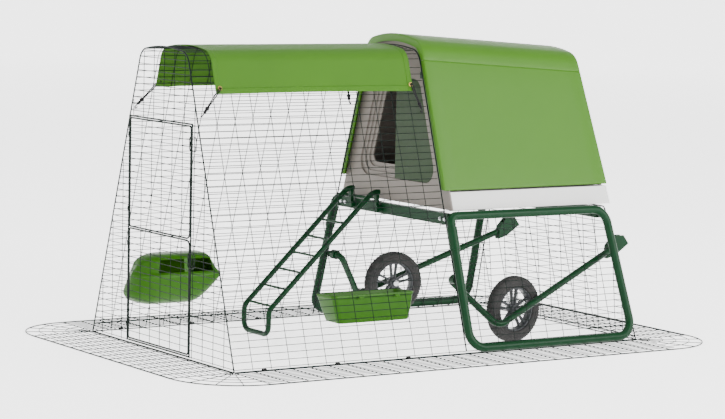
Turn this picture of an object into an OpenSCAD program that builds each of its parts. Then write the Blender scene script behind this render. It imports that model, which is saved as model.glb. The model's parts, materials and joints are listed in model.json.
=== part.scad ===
// Movable chicken coop: a wire-mesh run with a raised hen house at one end.
// X runs from the run's door end to the house end, Y across, Z up from the ground.
// The origin is the centre of the footprint, the wire skirt included, on the ground.

/* [Run] */
// Length of the run at the ground
run_l = 1777; // [1775:1:1780]
// Width of the run at the ground
run_w = 1061; // [1058:1:1064]
// How far a side leans in for each millimetre of height
side_lean = 0.3304; // [0.329:0.0002:0.332]
// How far the house end leans in for each millimetre of height
end_lean = 0.085; // [0.083:0.001:0.087]
// Height of the centres of the rounded top corners
corner_z = 1035; // [1030:1:1040]
// Radius of the rounded top corners
corner_r = 60; // [56:1:64]
// Radius of the gently arched top
crown_r = 800; // [750:10:850]

/* [Mesh] */
// Length of one mesh cell
cell_l = 75.7; // [75.6:0.1:75.8]
// Height of one mesh cell
cell_h = 25; // [24.9:0.1:25.1]
// Thickness of a mesh wire
wire_d = 2.5; // [2:0.1:2.6]
// Thickness of a panel's edge wire
edge_d = 5; // [4:0.5:5]
// Width of the flat wire skirt on the ground
skirt_w = 250; // [200:10:260]

/* [Door] */
// Width of the doorway in the mesh
door_w = 465; // [455:5:475]
// Distance of the doorway's middle from the centre line
door_y = 10; // [0:1:20]
// Height of the top of the doorway
door_top = 842; // [835:1:850]
// Height of the bar between the two door leaves
door_mid = 432; // [410:1:450]
// Thickness of the rods round the doors
rod_d = 6; // [5:0.5:7]

/* [House] */
// Where the front of the house stands, from the door end
house_x = 992; // [990:1:994]
// Length of the house along its lower edge
house_l = 770; // [766:1:774]
// Height of the underside of the house base
base_z = 511; // [509:1:513]
// Height of the lower edge of the lid
lid_z = 586; // [584:1:588]
// Fall of the roof towards the rear, in degrees
roof_fall = 4; // [3:0.5:5]
// Thickness of the moulded shells
shell_t = 4; // [3:0.5:4.5]
// Width of the flange round the front of the lid
flange_w = 27; // [24:1:29]
// Travel of the pop door
pop_travel = 200; // [190:5:200]

/* [Frame] */
// Diameter of the frame tube
tube_d = 32; // [30:1:33]
// Diameter of the lever tube
lever_d = 25; // [22:1:26]
// Height of the front beam
beam_h = 42; // [38:1:44]
// Diameter of a wheel
wheel_d = 250; // [240:2:252]
// Width of a tyre
tyre_w = 48; // [44:1:49]
// Angle by which the wheels toe in, in degrees
wheel_toe = 6; // [5:0.5:7]

/* [Ladder] */
// Width of the ladder between the middles of its rails
ladder_w = 180; // [170:5:190]
// Diameter of the ladder's tube
ladder_d = 20; // [18:1:21]

/* [Hidden] */

$fn = 32;
green = "darkgreen";
leaf_green = "olivedrab";
gap = 0.2;                        // clearance between parts that are welded or clipped
door_x = -run_l / 2;              // plane of the door end
half_w = run_w / 2;
lean = atan(side_lean);           // lean of a side from upright
end_a = atan(end_lean);           // lean of the house end from upright
layer = (wire_d + gap) / 2;       // half the distance between the two layers of a mesh
house_i = 13;                     // mesh line on which the house starts
last_i = 23;                      // last mesh line before the house end
arch_x = door_x + house_i * cell_l;
frame_z = 500;                    // height of the top of the beams
rail_top = 509;                   // height of the top of the frame loops
corner_y = half_w - side_lean * corner_z - corner_r / cos(lean);
crown_a = asin(corner_y / (crown_r - corner_r));
crown_z = corner_z - (crown_r - corner_r) * cos(crown_a);
eaves_v = corner_z / cos(lean) + corner_r * tan(lean);  // length of a side's straight part
row_v = 11.3;                     // first mesh row of a side, up the slope
floor_edge = 3;                   // height of the middle of the lowest edge wires
leaf_x = door_x - layer - wire_d / 2 - rod_d / 2 - 0.5;
door_y0 = door_y - door_w / 2;
door_y1 = door_y + door_w / 2;
leaf_gap = rod_d + 1.5;           // between the middles of neighbouring door rods
house_x0 = door_x + house_x;
house_x1 = house_x0 + house_l;
lid_corner_z = corner_z + 32;
lid_grow = 19;                    // how far the lid stands out from the run's sides
rear_lean = 0.092;                // lean of the back of the house
frame_off = 22;                   // how far the frame loops stand out from the mesh
wall_x = house_x0 + 20;           // front face of the front wall
pop_z0 = 603;
pop_z1 = 950;
rod_z = 936;
lever_turn = 12;                  // how far a lever can be lowered, in degrees
pivot = [door_x + 1008, -367, 260];
low_bend = [door_x + 1162, -480, 84];
grip = [door_x + 1761, -362, 323];
wheel_c = [door_x + 1282, -406, 134];
beam_x = door_x + 994;
ladder_y = 170;                   // middle of the ladder
hinge_x = beam_x - 12;
hinge_z = 478;

// Half the run's width at height z
function half_at(z) = half_w - side_lean * z;
// Where the house end stands at height z
function end_at(z) = door_x + run_l - end_lean * z;
// Where the back of the lid stands at height z
function rear_at(z) = house_x1 - rear_lean * (z - lid_z);
// Height of the end arch at distance y from the centre line
function arch_at(y) = let (a = abs(y))
    a >= corner_y + corner_r * cos(lean) ? (half_w - a) / side_lean
    : a <= crown_r * sin(crown_a) ? crown_z + sqrt(crown_r * crown_r - y * y)
    : corner_z + sqrt(corner_r * corner_r - (a - corner_y) * (a - corner_y));
// Half the width of the end arch at height z
function arch_half(z) = z <= corner_z + corner_r * sin(lean) ? half_at(z)
    : corner_y + sqrt(max(0, corner_r * corner_r - (z - corner_z) * (z - corner_z)));
// Outline of an arched section: half width w at the ground, corners of radius r centred at
// height cz under a crown of radius c, grown outwards by g and cut off at height low
function dome(w, cz, r, c, g, low) = let (
    cy = w - side_lean * cz - r / cos(lean),
    ca = asin(cy / (c - r)),
    top = cz - (c - r) * cos(ca),
    far = w - side_lean * low + g / cos(lean),
    side = [for (i = [0 : 8]) let (a = lean + i * (90 - ca - lean) / 8)
        [cy + (r + g) * cos(a), cz + (r + g) * sin(a)]],
    crown = [for (i = [1 : 7]) let (a = 90 - ca + i * ca / 4)
        [(c + g) * cos(a), top + (c + g) * sin(a)]])
    concat([[far, low]], side, crown, [for (i = [8 : -1 : 0]) [-side[i].x, side[i].y]],
        [[-far, low]]);
function run_dome(g, low) = dome(half_w, corner_z, corner_r, crown_r, g, low);
function lid_dome(g, low) = dome(half_w + lid_grow, lid_corner_z, 65, 600, g, low);
bend_swell = 0.3;                 // a bend is this much thicker than the tube it joins
bend_lap = 0.6;                   // and the tube runs this far into it
function unit(v) = v / norm(v);
function flip(p) = [p.x, -p.y, p.z];
// A convex outline with its corners rounded to radius r
function rounded(p, r) = let (n = len(p)) [for (i = [0 : n - 1]) let (
    u = unit(p[(i + n - 1) % n] - p[i]),
    v = unit(p[(i + 1) % n] - p[i]),
    h = acos(u * v) / 2,
    c = p[i] + unit(u + v) * r / sin(h),
    s = p[i] + u * r / tan(h) - c,
    a = atan2(s.y, s.x),
    turn = (u.x * v.y - u.y * v.x > 0 ? -1 : 1) * (180 - 2 * h))
    for (k = [0 : 10]) c + r * [cos(a + turn * k / 10), sin(a + turn * k / 10)]];
// Outline of the house doorway, drawn in by g
function doorway(g) = let (w0 = 270 - g / cos(lean), z0 = 597 + g, z1 = 985 - g)
    rounded([[w0 - side_lean * g, z0], [w0 - side_lean * (z1 - 597), z1],
        [-w0 + side_lean * (z1 - 597), z1], [-w0 + side_lean * g, z0]], 55 - g / 2);
// Outline of the door in the back of the house, drawn in by g
function rear_opening(g) = rounded([[230 - g, 625 + g], [125 - g, 950 - g],
    [-125 + g, 950 - g], [-230 + g, 625 + g]], 35);

// A straight round bar from a to b
module wire(a, b, d) {
    v = b - a;
    translate(a)
        rotate([0, acos(v.z / norm(v)), atan2(v.y, v.x)])
            cylinder(h = norm(v), d = d);
}
// The round bend of a tube at corner b, between a and c; it takes in the ends of its neighbours
module elbow(a, b, c, r, d) {
    u = unit(b - a);
    v = unit(c - b);
    turn = acos(u * v);
    m = b + unit(v - u) * r / cos(turn / 2);
    s = unit(b - u * r * tan(turn / 2) - m);
    n = cross(s, u);
    multmatrix([[s.x, u.x, n.x, m.x], [s.y, u.y, n.y, m.y], [s.z, u.z, n.z, m.z], [0, 0, 0, 1]])
        rotate_extrude(angle = turn)
            translate([r, 0]) circle(d = d + bend_swell);
}
function trim(a, b, c, r) = r * tan(acos(unit(b - a) * unit(c - b)) / 2) - bend_lap;
// A tube through points p, bent to the radii r; a closed one joins its ends
module bent_tube(p, r, d, closed = false) {
    n = len(p);
    for (i = [0 : closed ? n - 1 : n - 2]) {
        a = p[i];
        b = p[(i + 1) % n];
        t0 = i > 0 || closed ? trim(p[(i + n - 1) % n], a, b, r[i]) : 0;
        t1 = i < n - 2 || closed ? trim(a, b, p[(i + 2) % n], r[(i + 1) % n]) : 0;
        wire(a + unit(b - a) * t0, b - unit(b - a) * t1, d);
    }
    for (i = [closed ? 0 : 1 : closed ? n - 1 : n - 2])
        elbow(p[(i + n - 1) % n], p[i], p[(i + 1) % n], r[i], d);
}
// Coordinates of the near side: X along the run, Z up the slope, -Y outwards
module near_side() {
    translate([0, -half_w, 0]) rotate([-lean, 0, 0]) children();
}
module far() {
    mirror([0, 1, 0]) children();
}
// A prism along X of an outline in Y and Z
module along_x(x0, x1, outline) {
    translate([x0, 0, 0]) rotate([90, 0, 90]) linear_extrude(x1 - x0) polygon(outline);
}
// A prism along X that falls with the roof
module under_roof(outline) {
    translate([house_x0, 0, lid_corner_z]) rotate([0, roof_fall, 0])
        translate([-house_x0, 0, -lid_corner_z])
            along_x(house_x0 - 150, house_x1 + 150, outline);
}
// The space between two distances from the back of the lid, above height z0
module from_back(far_in, near_in, z0) {
    rotate([90, 0, 0]) linear_extrude(1400, center = true)
        polygon([[rear_at(z0) - far_in, z0], [rear_at(z0) - near_in, z0],
            [rear_at(1300) - near_in, 1300], [rear_at(1300) - far_in, 1300]]);
}
// The space from the plane x0 to a distance from the back of the lid, above height z0
module house_space(x0, back_in, z0) {
    rotate([90, 0, 0]) linear_extrude(1400, center = true)
        polygon([[x0, z0], [rear_at(z0) - back_in, z0], [rear_at(1300) - back_in, 1300],
            [x0, 1300]]);
}

// ---- mesh ----

// Wires of one side: the upright ones outside, the long ones inside
module side_mesh() {
    color(green) near_side() {
        for (i = [1 : last_i]) if (i != house_i) {
            x = door_x + i * cell_l;
            top = i < house_i ? eaves_v - gap
                : min(480, (run_l - 5 - i * cell_l) / end_lean) / cos(lean);
            wire([x, -layer, floor_edge + 3], [x, -layer, top], wire_d);
        }
        for (v = [row_v : cell_h : eaves_v]) {
            z = v * cos(lean);
            if (z < 450)
                wire([door_x + 2.8, layer, v], [end_at(z) - 3.2, layer, v], wire_d);
            else
                wire([door_x + 2.8, layer, v], [arch_x - 2.8, layer, v], wire_d);
        }
        wire([door_x + 2.8, 0, floor_edge], [end_at(floor_edge) - 3.2, 0, floor_edge], 4);
    }
}
module side_mesh_near() {
    side_mesh();
}
module side_mesh_far() {
    far() side_mesh();
}
// One arc of a hoop about a centre in Y and Z, from angle a to b
module hoop_arc(x, c, r, a, b, d) {
    translate([x, c.x, c.y]) rotate([90, 0, 90]) rotate([0, 0, a])
        rotate_extrude(angle = b - a) translate([r, 0]) circle(d = d);
}
module corner_arc(x, r, d, slack) {
    hoop_arc(x, [corner_y, corner_z], r, lean + slack, 90 - crown_a - slack, d);
}
module crown_arc(x, r, d) {
    hoop_arc(x, [0, crown_z], r, 90 - crown_a, 90 + crown_a, d);
}
module roof_mesh() {
    color(green) {
        for (i = [1 : house_i - 1]) {
            x = door_x + i * cell_l;
            corner_arc(x, corner_r + layer, wire_d, 0.2);
            far() corner_arc(x, corner_r + layer, wire_d, 0.2);
            crown_arc(x, crown_r + layer, wire_d);
        }
        for (a = [10 : 23 : 60], s = [-1, 1]) {
            y = s * (corner_y + (corner_r - layer) * cos(lean + a));
            z = corner_z + (corner_r - layer) * sin(lean + a);
            wire([door_x + 2.8, y, z], [arch_x - 2.8, y, z], wire_d);
        }
        for (j = [-5 : 5]) {
            y = j * cell_h;
            z = arch_at(y) - layer;
            wire([door_x + 2.8, y, z], [arch_x - 2.8, y, z], wire_d);
        }
    }
}
// The full arch of edge wire at x, moved out by a distance and cut off at height low
module hoop(x, out, low) {
    r = corner_r + out;
    foot = [x, -half_at(low) - out / cos(lean), low];
    eave = [x, -corner_y - r * cos(lean) + bend_lap * sin(lean),
        corner_z + r * sin(lean) + bend_lap * cos(lean)];
    wire(foot, eave, edge_d);
    wire(flip(foot), flip(eave), edge_d);
    corner_arc(x, r, edge_d + bend_swell, 0);
    far() corner_arc(x, r, edge_d + bend_swell, 0);
    hoop_arc(x, [0, crown_z], crown_r + out, 90 - crown_a - 0.05, 90 + crown_a + 0.05, edge_d);
}
module run_hoops() {
    color(green) {
        hoop(door_x, 0, floor_edge);
        hoop(arch_x, edge_d / 2 + 0.3, 10);
        p = [for (z = [floor_edge, frame_z]) [end_at(z), -half_at(z), z]];
        bent_tube([p[0], p[1], flip(p[1]), flip(p[0])], [0, 20, 20, 0], edge_d);
    }
}
module door_end_mesh() {
    color(green) {
        for (z = [12.5 : cell_h : 1090]) {
            w = arch_half(z) - (z > corner_z + 20 ? 9 : 3.4);
            x = door_x - layer;
            if (z < door_top + 2) {
                wire([x, -w, z], [x, door_y0 + 2, z], wire_d);
                wire([x, door_y1 - 2, z], [x, w, z], wire_d);
            } else
                wire([x, -w, z], [x, w, z], wire_d);
        }
        for (j = [-6 : 6]) {
            y = j * cell_l;
            inside = y > door_y0 && y < door_y1;
            wire([door_x + layer, y, inside ? door_top - 2 : 7],
                [door_x + layer, y, arch_at(abs(y) + 4.3) - 3.2], wire_d);
        }
        wire([door_x, -half_w + 4.5, floor_edge], [door_x, half_w - 4.5, floor_edge], 4);
    }
}
// The house end stops at the frame and leaves a slot for each lever
module house_end_mesh() {
    slot = [300, 405, 100, 405];
    color(green) {
        for (z = [15 : cell_h : frame_z - 20]) {
            x = end_at(z) - layer;
            w = half_at(z) - 3.4;
            if (z > slot[2] && z < slot[3]) {
                wire([x, -slot[0] - 3, z], [x, slot[0] + 3, z], wire_d);
                for (s = [-1, 1])
                    if (w > slot[1] + 3) wire([x, s * (slot[1] - 3), z], [x, s * w, z], wire_d);
            } else
                wire([x, -w, z], [x, w, z], wire_d);
        }
        for (y = [-450, -405, -300, -225, -150, -75, 0, 75, 150, 225, 300, 405, 450]) {
            top = min(frame_z - 3.5, (half_w - abs(y) - 4.5) / side_lean);
            wire([end_at(7) + layer, y, 7], [end_at(top) + layer, y, top], wire_d);
        }
        wire([end_at(floor_edge), -half_w + 4.5, floor_edge],
            [end_at(floor_edge), half_w - 4.5, floor_edge], 4);
    }
}
// One straight stretch of skirt: rows along X over the cross wires, and a flat outer border
module skirt_strip(x0, x1, y0, lines) {
    for (k = [1 : skirt_w / cell_h - 1])
        wire([x0, y0 + k * cell_h, 4.6], [x1, y0 + k * cell_h, 4.6], wire_d);
    for (x = lines)
        wire([x, y0 + 5.2, 1.9], [x, y0 + skirt_w - 2.5, 1.9], wire_d);
    wire([x0, y0 + 2.8, 2], [x1, y0 + 2.8, 2], 4);
    translate([x0, y0 + skirt_w - 2, 0]) cube([x1 - x0, 4, 4]);
}
module skirt_sides() {
    color(green)
        for (s = [0, 1]) mirror([0, s, 0])
            skirt_strip(door_x, door_x + run_l, half_w + 2,
                [for (i = [0 : last_i]) door_x + 1 + i * cell_l]);
}
module skirt_ends() {
    color(green)
        for (s = [90, -90]) rotate([0, 0, s])
            skirt_strip(-half_w, half_w, run_l / 2 + 2, [for (j = [-7 : 7]) j * cell_l * 0.99]);
}
// Each corner is a fan of quarter circles and spokes
module skirt_corners() {
    color(green)
        for (sx = [0, 1], sy = [0, 1]) mirror([sx, 0, 0]) mirror([0, sy, 0])
            translate([run_l / 2 + 0.5, half_w + 0.5, 0]) {
                for (r = [50 : 50 : skirt_w])
                    translate([0, 0, r > skirt_w - 10 ? 2 : 4.6])
                        rotate_extrude(angle = 90)
                            translate([r + 1.5, 0]) circle(d = r > skirt_w - 10 ? 4 : wire_d);
                for (a = [22.5 : 22.5 : 67.5])
                    rotate([0, 0, a]) wire([10, 0, 1.9], [skirt_w - 1, 0, 1.9], wire_d);
            }
}
// Saddle clips that hold the skirt to the run
module mesh_clips() {
    color("black")
        for (s = [0, 1]) mirror([0, s, 0])
            for (i = [1.5 : 4 : 12])
                translate([door_x + i * cell_l, half_w + 1.5, 2.6]) rotate([0, 90, 0])
                    rotate([0, 0, 95]) rotate_extrude(angle = 170)
                        translate([5.5, 0]) square([1.8, 14]);
}

// ---- run doors ----

module door_jamb() {
    end = rod_d / 2 + gap;
    color(green) {
        for (y = [door_y0, door_y1])
            wire([leaf_x, y, 11], [leaf_x, y, door_top + rod_d / 2], rod_d);
        for (z = [14, door_top])
            wire([leaf_x, door_y0 + end, z], [leaf_x, door_y1 - end, z], rod_d);
    }
}
// Frame of a door leaf between two heights, with hinge loops round the jamb at heights hinges
module leaf_frame(z0, z1, r0, r1, hinges) {
    y0 = door_y0 + leaf_gap;
    y1 = door_y1 - leaf_gap;
    color(green) difference() {
        union() {
            bent_tube([[leaf_x, y0, z0], [leaf_x, y0, z1], [leaf_x, y1, z1], [leaf_x, y1, z0]],
                [r0, r1, 8, 8], rod_d, true);
            for (z = hinges)
                translate([leaf_x, door_y1, z - 8]) cylinder(h = 16, r = rod_d / 2 + 2.5);
        }
        for (z = hinges)
            translate([leaf_x, door_y1, z - 12]) cylinder(h = 24, r = rod_d / 2 + 0.06);
    }
}
module leaf_mesh(z0, z1) {
    x = leaf_x + rod_d / 2 + wire_d / 2 + gap;
    color(green) {
        for (z = [z0 + cell_h : cell_h : z1 - 8])
            wire([x, door_y0 + leaf_gap - 1, z], [x, door_y1 - leaf_gap + 1, z], wire_d);
        for (j = [-2 : 2])
            wire([x + 2 * layer, door_y + j * cell_l, z0 - 1],
                [x + 2 * layer, door_y + j * cell_l, z1 + 1], wire_d);
    }
}
// A wire loop that turns on the leaf's rod and lies over the jamb
module leaf_latch(z) {
    y = door_y0 + leaf_gap;
    x = leaf_x - rod_d / 2 - 2;
    color(green) difference() {
        union() {
            translate([leaf_x, y, z - 8]) cylinder(h = 16, r = rod_d / 2 + 1.2);
            bent_tube([[x - 1, y, z - 26], [x - 1, y - 48, z - 26], [x - 1, y - 48, z + 26],
                [x - 1, y, z + 26]], [11, 11, 11, 11], 3, true);
        }
        translate([leaf_x, y, z - 40]) cylinder(h = 80, r = rod_d / 2 + 0.06);
    }
}
upper_z0 = door_mid + leaf_gap / 2;
upper_z1 = door_top - leaf_gap;
lower_z0 = 14 + leaf_gap;
lower_z1 = door_mid - leaf_gap / 2;
module upper_door_frame() {
    leaf_frame(upper_z0, upper_z1, 22, 10, [500, 775]);
}
module upper_door_mesh() {
    leaf_mesh(upper_z0, upper_z1);
}
module upper_door_latch() {
    leaf_latch(773);
}
module lower_door_frame() {
    leaf_frame(lower_z0, lower_z1, 10, 22, [75, 375]);
}
module lower_door_mesh() {
    leaf_mesh(lower_z0, lower_z1);
}
module lower_door_latch() {
    leaf_latch(359);
}

// ---- frame, levers and wheels ----

function frame_v(z) = (z - frame_off * sin(lean)) / cos(lean);
module frame_loop() {
    r = tube_d / 2;
    low = frame_v(6 + r);
    top = frame_v(rail_top - r);
    color(green) near_side()
        bent_tube([[door_x + 993, -frame_off, low], [door_x + 993, -frame_off, top],
            [door_x + 1715, -frame_off, top], [door_x + 1749, -frame_off, low]],
            [65, 26, 60, 65], tube_d, true);
}
module frame_loop_near() {
    frame_loop();
}
module frame_loop_far() {
    far() frame_loop();
}
// A box-section beam across the frame, open at both ends
module beam(x, w) {
    translate([x, 0, frame_z - beam_h / 2]) difference() {
        cube([w, 746, beam_h], center = true);
        cube([w - 5, 760, beam_h - 5], center = true);
    }
}
module front_beam() {
    color(green) beam(beam_x + 13, 26);
}
module rear_beam() {
    color(green) beam(door_x + 1702, 24);
}
// Hexagon-headed bolts that hold the beams to the frame
module beam_bolts() {
    color("silver")
        for (y = [-355, -325, 325, 355]) {
            translate([beam_x - 4.2, y, 478]) rotate([0, 90, 0]) {
                cylinder(h = 4, d = 12, $fn = 6);
                translate([0, 0, 3.9]) cylinder(h = 0.1, d = 14);
            }
            translate([door_x + 1714.2, y, 478]) rotate([0, 90, 0])
                cylinder(h = 4, d = 12, $fn = 6);
        }
}
module leg_sleeve() {
    near_side() translate([door_x + 993, -frame_off, 385]) difference() {
        cylinder(h = 85, d = tube_d + 6);
        translate([0, 0, -1]) cylinder(h = 87, d = tube_d + 0.4);
        translate([-25, frame_off - 6.5, -1]) cube([50, 10, 87]);
    }
}
module leg_sleeves() {
    color(green) {
        leg_sleeve();
        far() leg_sleeve();
    }
}
// A bush in front of the leg that the lever's bent end turns in
module lever_bush() {
    difference() {
        union() {
            translate([pivot.x, pivot.y - 33, pivot.z]) rotate([90, 0, 0])
                cylinder(h = 26, d = lever_d + 12);
            translate([pivot.x - 12, pivot.y - 80.5, pivot.z - 9]) cube([24, 38, 18]);
        }
        translate([pivot.x, pivot.y, pivot.z]) rotate([90, 0, 0])
            cylinder(h = 72, r = lever_d / 2 + 0.06);
    }
}
module lever_bushes() {
    color(green) {
        lever_bush();
        far() lever_bush();
    }
}
module lever() {
    color(green)
        bent_tube([pivot - [0, 66, 0], pivot, low_bend, grip], [0, 20, 45, 0], lever_d);
}
module lever_near() {
    lever();
}
module lever_far() {
    far() lever();
}
// An open-topped channel at the lever's end, to press with a foot or lift by hand
module lever_handle() {
    color(green) translate([door_x, -369, 0]) rotate([90, 0, 0]) mirror([0, 0, 1])
        difference() {
            linear_extrude(28) polygon([[1755, 296], [1760, 345], [1796, 384], [1832, 384],
                [1858, 350], [1795, 308]]);
            translate([0, 0, 3]) linear_extrude(22) polygon([[1759, 300], [1764, 345],
                [1797, 392], [1830, 392], [1854, 350], [1794, 312]]);
        }
}
module lever_handle_near() {
    lever_handle();
}
module lever_handle_far() {
    far() lever_handle();
}
// Coordinates of the near wheel: Z along its axle, outwards
module wheel_place() {
    translate(wheel_c) rotate([0, 0, wheel_toe]) rotate([90, 0, 0]) children();
}
// A stub welded to the lever, with a cap that keeps the wheel on
module axle() {
    color("silver") wheel_place() {
        translate([0, 0, -tyre_w / 2 - 2]) cylinder(h = tyre_w + 24, d = 12);
        translate([0, 0, -tyre_w / 2 - 6]) cylinder(h = 4, d = 22);
    }
}
module axle_near() {
    axle();
}
module axle_far() {
    far() axle();
}
module rim() {
    rim_r = wheel_d / 2 - 42;
    color("dimgray") wheel_place() difference() {
        union() {
            difference() {
                translate([0, 0, -17]) cylinder(h = 34, r = rim_r, $fn = 64);
                translate([0, 0, -18]) cylinder(h = 36, r = rim_r - 7, $fn = 64);
            }
            translate([0, 0, -19]) cylinder(h = 38, d = 40);
            for (a = [0 : 72 : 359], s = [-1, 1]) rotate([0, 0, a])
                translate([15, s * 7 - 3.5, -8]) cube([rim_r - 18, 7, 16]);
        }
        translate([0, 0, -25]) cylinder(h = 50, r = 6.06);
    }
}
module rim_near() {
    rim();
}
module rim_far() {
    far() rim();
}
module tyre() {
    rim_r = wheel_d / 2 - 42;
    color("black") wheel_place() difference() {
        union() {
            translate([0, 0, -tyre_w / 2 + 8]) cylinder(h = tyre_w - 16, d = wheel_d, $fn = 64);
            translate([0, 0, -tyre_w / 2]) cylinder(h = 8, d1 = wheel_d - 14, d2 = wheel_d, $fn = 64);
            translate([0, 0, tyre_w / 2 - 8]) cylinder(h = 8, d1 = wheel_d, d2 = wheel_d - 14, $fn = 64);
        }
        translate([0, 0, -tyre_w]) cylinder(h = 2 * tyre_w, r = rim_r + 0.1, $fn = 64);
    }
}
module tyre_near() {
    tyre();
}
module tyre_far() {
    far() tyre();
}

// ---- house ----

// Outline of the base, drawn in by g, from height low up
function base_outline(g, low) = [[half_at(low) + 8 - g, low], [half_at(577) + 8 - g, 577],
    [-half_at(577) - 8 + g, 577], [-half_at(low) - 8 + g, low]];
module house_base() {
    x0 = wall_x + 7.2;
    color("white") difference() {
        intersection() {
            along_x(x0, house_x1 + 50, base_outline(0, base_z));
            house_space(x0, 10, base_z);
        }
        intersection() {
            along_x(x0 + 5, house_x1 + 60, base_outline(6, base_z + 4));
            translate([x0, -450, base_z]) cube([900, 900, 60]);
        }
        translate([x0 + 30, -290, 560]) cube([house_l - 110, 580, 40]);
    }
}
module front_wall() {
    color("lightgray") difference() {
        intersection() {
            under_roof(lid_dome(-shell_t - 0.5, base_z - 20));
            translate([wall_x, -450, base_z]) cube([7, 900, 700]);
        }
        along_x(wall_x - 5, wall_x + 20, doorway(0));
    }
}
// Three stepped frames that narrow behind the doorway
module doorway_surround() {
    color("darkgray")
        for (i = [0 : 2])
            difference() {
                along_x(wall_x + 7.2 + 6 * i, wall_x + 13.2 + 6 * i, doorway(i == 0 ? -8 : 17 * i - 4));
                along_x(wall_x, wall_x + 40, doorway(17 * i + 17));
            }
}
module fixed_door_panel() {
    color(leaf_green) intersection() {
        along_x(wall_x + 1, wall_x + 6, doorway(2));
        translate([wall_x - 5, -400, 500]) cube([30, 410, 600]);
    }
}
pop_x = wall_x + 28;
module pop_door() {
    y1 = 218 - pop_travel;
    color(leaf_green) {
        along_x(pop_x, pop_x + 4, [[6 - pop_travel, pop_z0], [y1, pop_z0],
            [y1 - side_lean * (pop_z1 - pop_z0), pop_z1], [6 - pop_travel, pop_z1]]);
        translate([pop_x + 4, 26 - pop_travel, rod_z - 8]) cube([14, 60, 16]);
    }
}
// Grooved rails above and below the pop door
module pop_rail(y0, y1, z, up) {
    translate([pop_x - 2, y0, up > 0 ? z : z - 3]) cube([8, y1 - y0, 3]);
    for (x = [pop_x - 2, pop_x + 4.5])
        translate([x, y0, up > 0 ? z + 2.9 : z - 9]) cube([1.5, y1 - y0, 6.1]);
}
module pop_door_rails() {
    color("gray") {
        pop_rail(4 - pop_travel, 222, pop_z0 - 4, 1);
        pop_rail(5 - pop_travel, 106, pop_z1 + 4, -1);
    }
}
pull_y0 = 86 - pop_travel + gap;
module pop_door_rod() {
    color("silver") translate([pop_x + 11, pull_y0, rod_z]) rotate([-90, 0, 0]) {
        cylinder(h = 251 - pull_y0, d = 8);
        translate([0, 0, 250 - pull_y0]) cylinder(h = 18, d = 30);
    }
}
module rod_hole() {
    translate([pop_x + 11, 150, rod_z]) rotate([-90, 0, 0]) cylinder(h = 200, r = 4.5);
}
// The lid's skin with its front and back flanges
module lid_skin() {
    intersection() {
        union() {
            difference() {
                under_roof(lid_dome(0, lid_z - 90));
                under_roof(lid_dome(-shell_t, lid_z - 100));
            }
            intersection() {
                difference() {
                    under_roof(lid_dome(0, lid_z - 90));
                    under_roof(lid_dome(-flange_w, lid_z - 100));
                }
                union() {
                    translate([house_x0, -450, lid_z]) cube([shell_t, 900, 700]);
                    from_back(shell_t, 0, lid_z);
                }
            }
        }
        house_space(house_x0, 0, lid_z);
    }
}
seam_z = 1058;
// The part of the lid between two heights above and below the seam
module lid_band(z0, z1, y0, y1) {
    intersection() {
        lid_skin();
        under_roof([[y0, z0], [y1, z0], [y1, z1], [y0, z1]]);
    }
}
module lid_roof() {
    color(leaf_green) lid_band(seam_z + 0.8, 1300, -400, 400);
}
module lid_side_near() {
    color(leaf_green) lid_band(300, seam_z - 0.8, -500, 0);
}
module lid_side_far() {
    color(leaf_green) difference() {
        lid_band(300, seam_z - 0.8, 0, 500);
        rod_hole();
    }
}
// Turn buttons that lock the lid to the front wall
module lid_catches() {
    color(green)
        for (s = [-1, 1])
            translate([wall_x - 4.2, s * 163 - 11, 988]) cube([4, 22, 26]);
}
module inner_shell() {
    color("darkgray") difference() {
        intersection() {
            difference() {
                under_roof(lid_dome(-29, 300));
                under_roof(lid_dome(-33, 290));
            }
            house_space(wall_x + 26, 30, 579);
        }
        rod_hole();
    }
}
module rear_wall() {
    color("lightgray") difference() {
        intersection() {
            under_roof(lid_dome(-shell_t - 0.5, 300));
            from_back(26, 20, 579);
        }
        along_x(house_x1 - 200, house_x1 + 50, rear_opening(8));
    }
}
handle_z = 790;
rear_tilt = atan(rear_lean);
module rear_door() {
    color(leaf_green) difference() {
        union() {
            intersection() {
                along_x(house_x1 - 200, house_x1 + 50, rear_opening(0));
                from_back(19.5, 13.5, 600);
            }
            translate([rear_at(622) - 10, 0, 617]) rotate([90, 0, 0])
                cylinder(h = 240, d = 14, center = true);
            translate([rear_at(630) - 18.3, -120, 617]) cube([5.3, 240, 20]);
        }
        translate([rear_at(622) - 10, 0, 617]) rotate([90, 0, 0])
            cylinder(h = 300, r = 4.06, center = true);
        translate([rear_at(handle_z) - 16.5, 0, handle_z]) rotate([0, 90 - rear_tilt, 0])
            cylinder(h = 60, r = 6.06, center = true);
    }
}
// A pin with a bracket at each end, held by the back wall
module rear_door_hinge() {
    color("silver") {
        translate([rear_at(622) - 10, 0, 617]) rotate([90, 0, 0])
            cylinder(h = 290, d = 8, center = true);
        for (s = [-1, 1])
            translate([rear_at(622) - 18.3, s * 136 - 9, 607.5]) cube([12.7, 18, 14]);
    }
}
module rear_door_handle() {
    color("black") translate([rear_at(handle_z) - 16.5, 0, handle_z])
        rotate([0, 90 - rear_tilt, 0]) {
            translate([0, 0, -8]) cylinder(h = 12, d = 12);
            translate([0, 0, -12]) cylinder(h = 4.5, d = 20);
            translate([0, 0, 3.5]) cylinder(h = 10, d = 76);
            translate([-34, -7, 13]) cube([68, 14, 12]);
        }
}
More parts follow.
